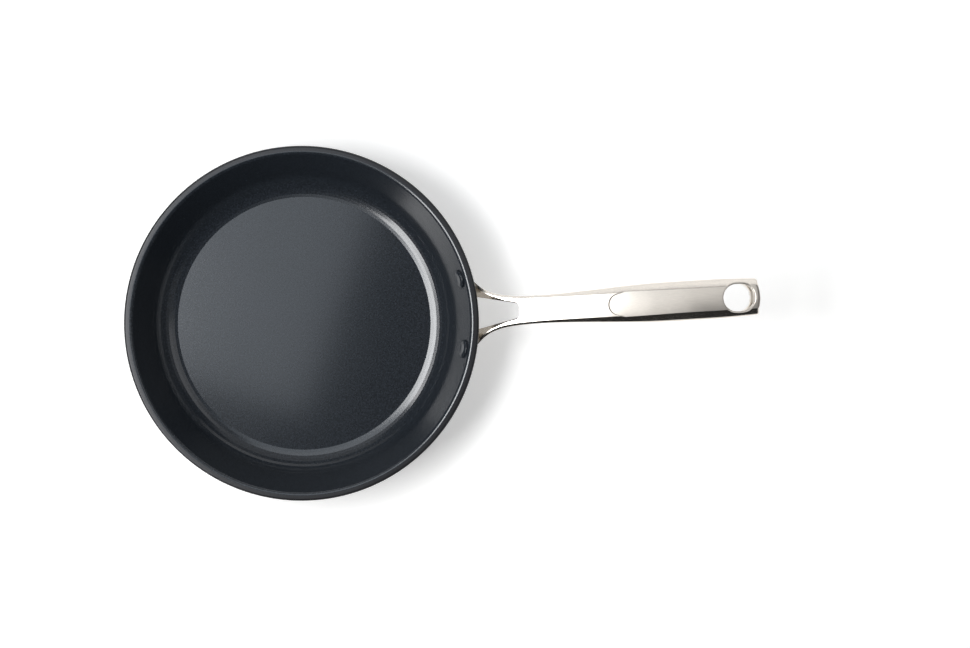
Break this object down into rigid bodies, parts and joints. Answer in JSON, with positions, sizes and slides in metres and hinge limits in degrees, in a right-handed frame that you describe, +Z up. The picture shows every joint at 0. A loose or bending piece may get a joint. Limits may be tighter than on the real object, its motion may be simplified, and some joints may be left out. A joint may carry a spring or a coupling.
{
  "type": "frying pan",
  "caption": "Round frying pan with a rolled lip, a dark non-stick inside and a riveted hollow steel handle that has a forked root, a thumb step and a hanging hole.",
  "frame": {"origin": "centre of the base's underside, on the surface that the pan stands on", "axes": "+X from the pan's centre along the handle, +Z up out of the open pan, +Y to the left of the handle seen from its free end"},
  "size_m": [0.4427, 0.248, 0.0806],
  "materials": {
    "anodised_body": "hard-anodised, dark grey, fine satin",
    "coating": "ceramic non-stick layer, blue-grey satin",
    "plate_steel": "circularly brushed magnetic stainless steel",
    "bracket_steel": "cast stainless steel, satin polished",
    "grip_steel": "pressed stainless steel, fine satin polish",
    "coated_rivet": "coated head, dark blue-grey satin"
  },
  "bodies": {
    "root": {"pan_body": "anodised_body", "nonstick_coating": "coating", "induction_plate": "plate_steel", "handle_bracket": "bracket_steel", "handle_top_shell": "grip_steel", "handle_bottom_shell": "grip_steel", "hang_hole_sleeve": "grip_steel", "rivet_left": "coated_rivet", "rivet_right": "coated_rivet"}
  },
  "joints": []
}
